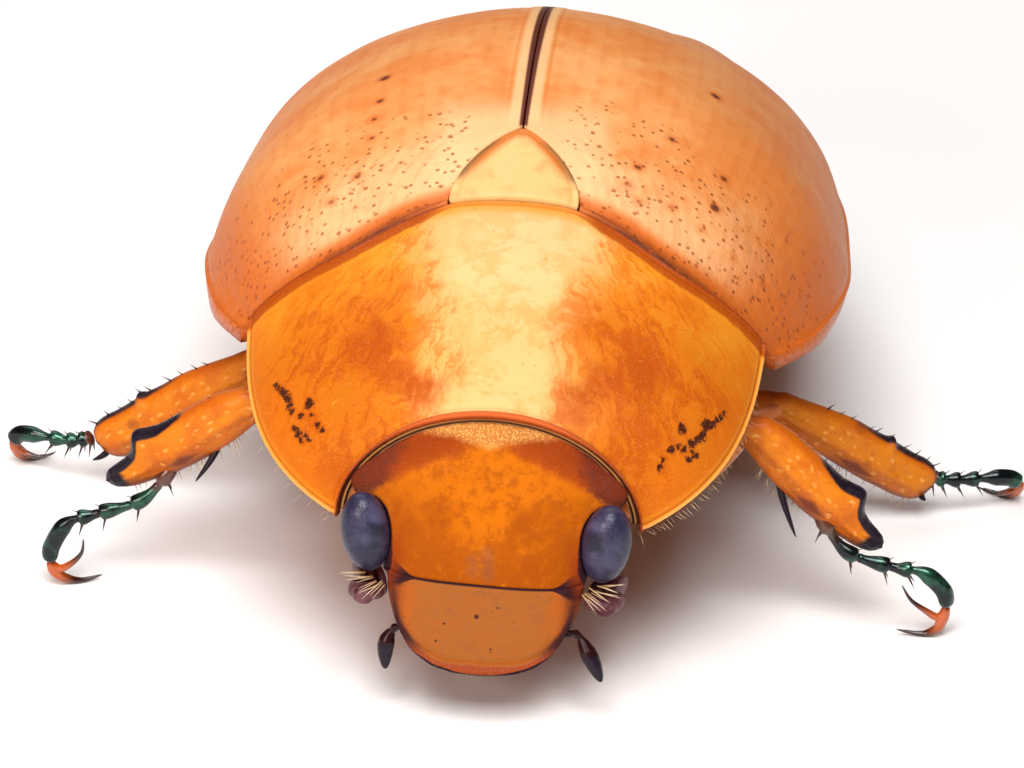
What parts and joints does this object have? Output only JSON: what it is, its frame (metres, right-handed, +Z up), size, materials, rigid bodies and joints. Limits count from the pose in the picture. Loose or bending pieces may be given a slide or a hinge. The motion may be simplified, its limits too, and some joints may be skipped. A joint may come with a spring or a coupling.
{
  "type": "christmas beetle, life-size still model",
  "caption": "Still, life-size scarab beetle with a domed amber shell, standing on its six clawed feet, for display scenes.",
  "frame": {"origin": "on the ground under the middle of the beetle's length and width", "axes": "+Z up, the head looks towards -Y, the beetle's own left side is at +X"},
  "size_m": [0.0219, 0.0235, 0.0095],
  "materials": {
    "head_amber": "satin amber shell with fine grain",
    "eye_slate": "dark slate, finely faceted, satin",
    "antenna_brown": "reddish brown",
    "palp_dark": "dark brown with a green sheen",
    "mouth_brown": "reddish brown",
    "pronotum_amber": "glossy amber shell with a cream centre and darker marbling",
    "underside_orange": "brown-orange with pale hairs",
    "scutellum_cream": "satin cream-yellow",
    "elytra_tan": "satin peach-tan shell with small brown punctures",
    "leg_orange": "glossy orange with blackish edges",
    "tarsus_green": "dark green, metallic sheen",
    "claw_red": "orange-red, darker at the tips"
  },
  "bodies": {
    "root": {"head": "head_amber", "right_eye": "eye_slate", "left_eye": "eye_slate", "right_antenna": "antenna_brown", "left_antenna": "antenna_brown", "right_palp": "palp_dark", "left_palp": "palp_dark", "mouthparts": "mouth_brown", "pronotum": "pronotum_amber", "prothorax": "underside_orange", "scutellum": "scutellum_cream", "right_elytron": "elytra_tan", "left_elytron": "elytra_tan", "thorax": "underside_orange", "abdomen": "underside_orange", "pygidium": "underside_orange", "right_front_coxa": "leg_orange", "right_front_femur": "leg_orange", "right_front_tibia": "leg_orange", "right_front_tarsus": "tarsus_green", "right_front_claws": "claw_red", "right_mid_coxa": "leg_orange", "right_mid_femur": "leg_orange", "right_mid_tibia": "leg_orange", "right_mid_tarsus": "tarsus_green", "right_mid_claws": "claw_red", "right_hind_coxa": "leg_orange", "right_hind_femur": "leg_orange", "right_hind_tibia": "leg_orange", "right_hind_tarsus": "tarsus_green", "right_hind_claws": "claw_red", "left_front_coxa": "leg_orange", "left_front_femur": "leg_orange", "left_front_tibia": "leg_orange", "left_front_tarsus": "tarsus_green", "left_front_claws": "claw_red", "left_mid_coxa": "leg_orange", "left_mid_femur": "leg_orange", "left_mid_tibia": "leg_orange", "left_mid_tarsus": "tarsus_green", "left_mid_claws": "claw_red", "left_hind_coxa": "leg_orange", "left_hind_femur": "leg_orange", "left_hind_tibia": "leg_orange", "left_hind_tarsus": "tarsus_green", "left_hind_claws": "claw_red"}
  },
  "joints": []
}
